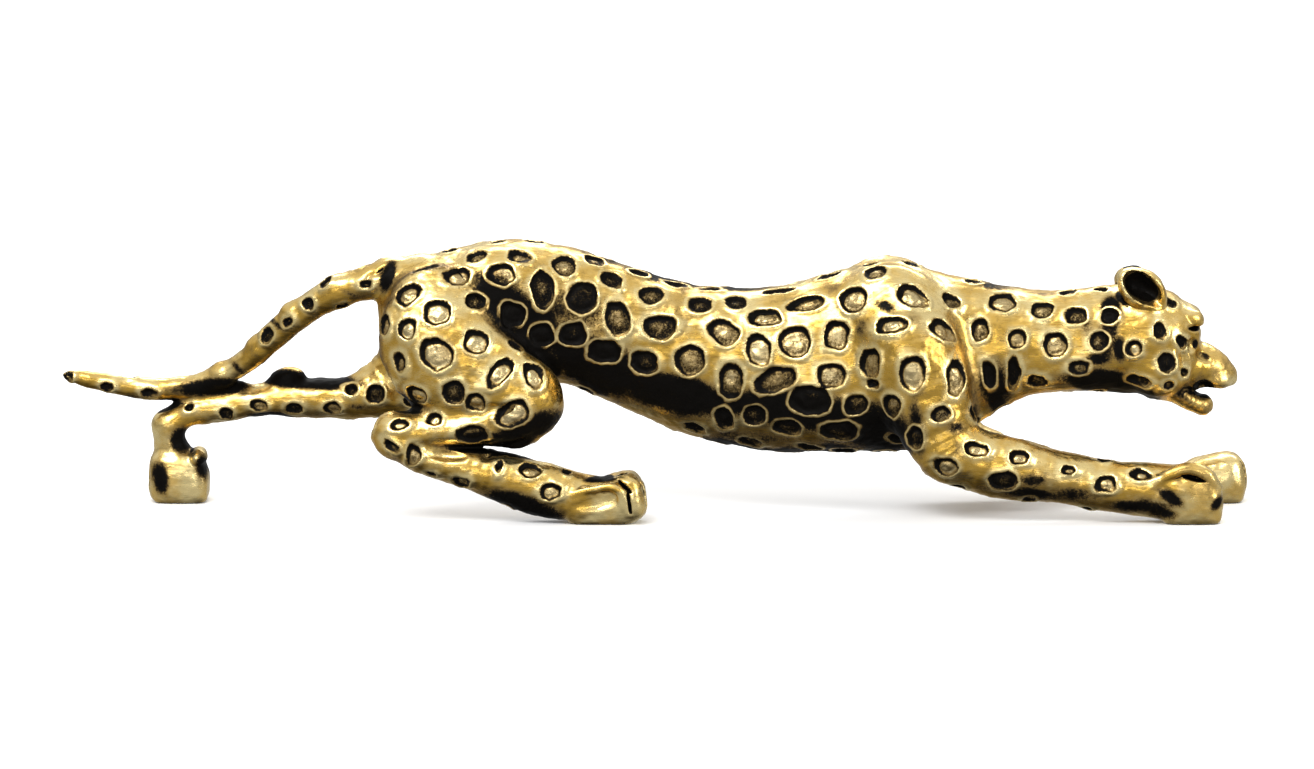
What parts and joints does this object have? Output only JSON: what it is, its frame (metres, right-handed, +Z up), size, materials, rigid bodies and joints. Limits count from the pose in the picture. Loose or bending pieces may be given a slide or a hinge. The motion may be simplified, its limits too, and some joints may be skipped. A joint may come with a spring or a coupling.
{
  "type": "hood ornament",
  "caption": "Spotted big cat, low and stretched out mid-leap with its tail streaming behind: a car mascot that stands on its paws and bolts down through threaded inserts in the soles.",
  "frame": {"origin": "centre of the bounding box in plan, on the plane of the four soles", "axes": "+X forward along the cat, towards the front paws; +Y to the cat's left; +Z up"},
  "size_m": [0.2, 0.0301, 0.046],
  "materials": {
    "antique_brass": "polished, with black patina left in the recesses",
    "pin_steel": "ground",
    "insert_steel": "turned, plated"
  },
  "bodies": {
    "root": {"torso_left_half": "antique_brass", "torso_right_half": "antique_brass", "head": "antique_brass", "lower_jaw": "antique_brass", "left_ear": "antique_brass", "right_ear": "antique_brass", "tail": "antique_brass", "front_left_leg": "antique_brass", "front_right_leg": "antique_brass", "hind_left_leg": "antique_brass", "hind_right_leg": "antique_brass", "rear_dowel": "pin_steel", "belly_dowel": "pin_steel", "chest_dowel": "pin_steel", "neck_pin": "pin_steel", "tail_pin": "pin_steel", "front_left_leg_pin": "pin_steel", "front_right_leg_pin": "pin_steel", "hind_left_leg_pin": "pin_steel", "hind_right_leg_pin": "pin_steel", "front_left_insert": "insert_steel", "front_right_insert": "insert_steel", "hind_left_insert": "insert_steel", "hind_right_insert": "insert_steel"}
  },
  "joints": []
}
